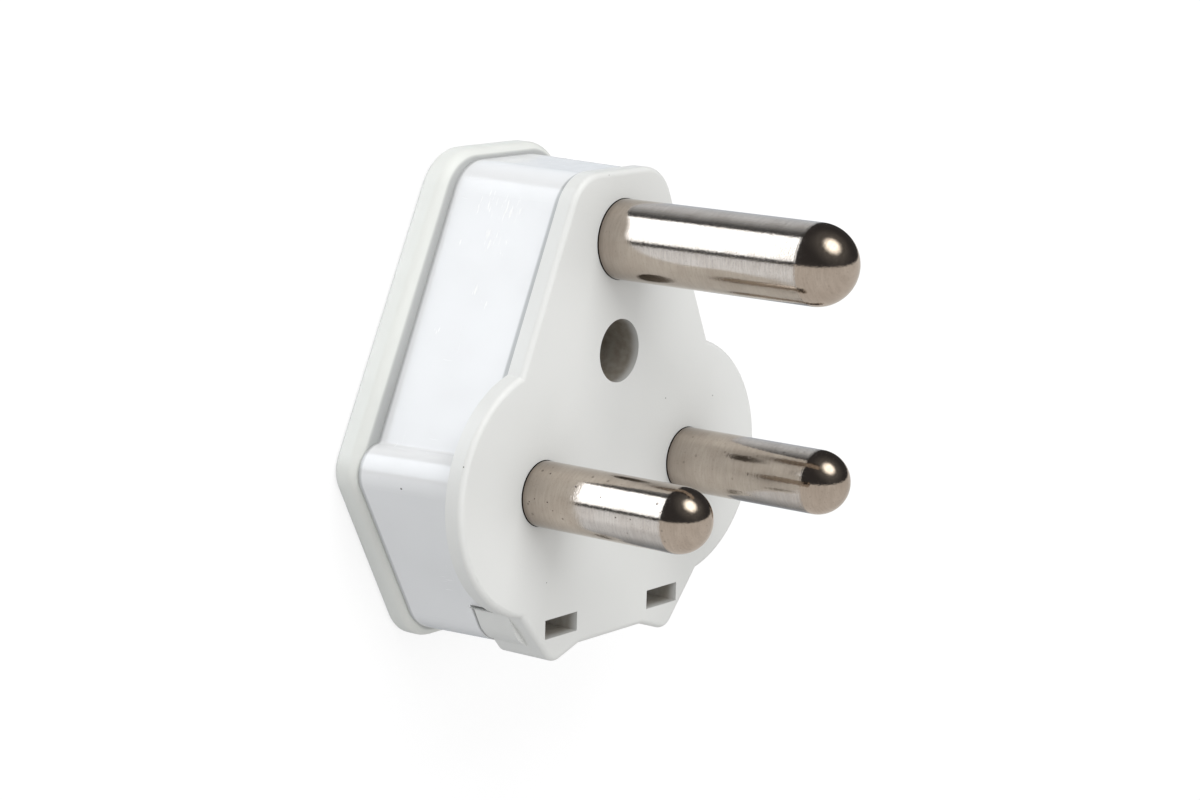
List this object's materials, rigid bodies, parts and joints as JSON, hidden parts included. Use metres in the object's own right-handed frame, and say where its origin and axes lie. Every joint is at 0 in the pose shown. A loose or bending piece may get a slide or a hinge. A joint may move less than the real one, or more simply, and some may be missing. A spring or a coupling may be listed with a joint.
{
  "type": "three-pin plug top",
  "caption": "Mains plug top with round nickel-plated pins, a tapered two-lobed face plate and a rear cover with a grip flange.",
  "frame": {"origin": "middle of the outline on the back face of the rear cover, on which the plug lies", "axes": "+Z is the way the pins point, +Y the way from the two small pins to the earth pin, +X to the right when looking at the pins with the earth pin up"},
  "size_m": [0.0522, 0.0534, 0.0492],
  "materials": {
    "base_plastic": "satin light grey-white moulding",
    "cover_plastic": "semi-gloss bluish-white moulding with faint scuffs",
    "pin_metal": "nickel-plated, satin polished",
    "screw_steel": "zinc-plated",
    "insert_brass": "turned",
    "clamp_plastic": "satin"
  },
  "bodies": {
    "root": {"pin_base": "base_plastic", "rear_cover": "cover_plastic", "earth_pin": "pin_metal", "live_pin": "pin_metal", "neutral_pin": "pin_metal", "earth_terminal_screw": "screw_steel", "live_terminal_screw": "screw_steel", "neutral_terminal_screw": "screw_steel", "cover_screw": "screw_steel", "cover_nut": "insert_brass", "cord_clamp": "clamp_plastic", "clamp_screw_left": "screw_steel", "clamp_screw_right": "screw_steel"}
  },
  "joints": []
}
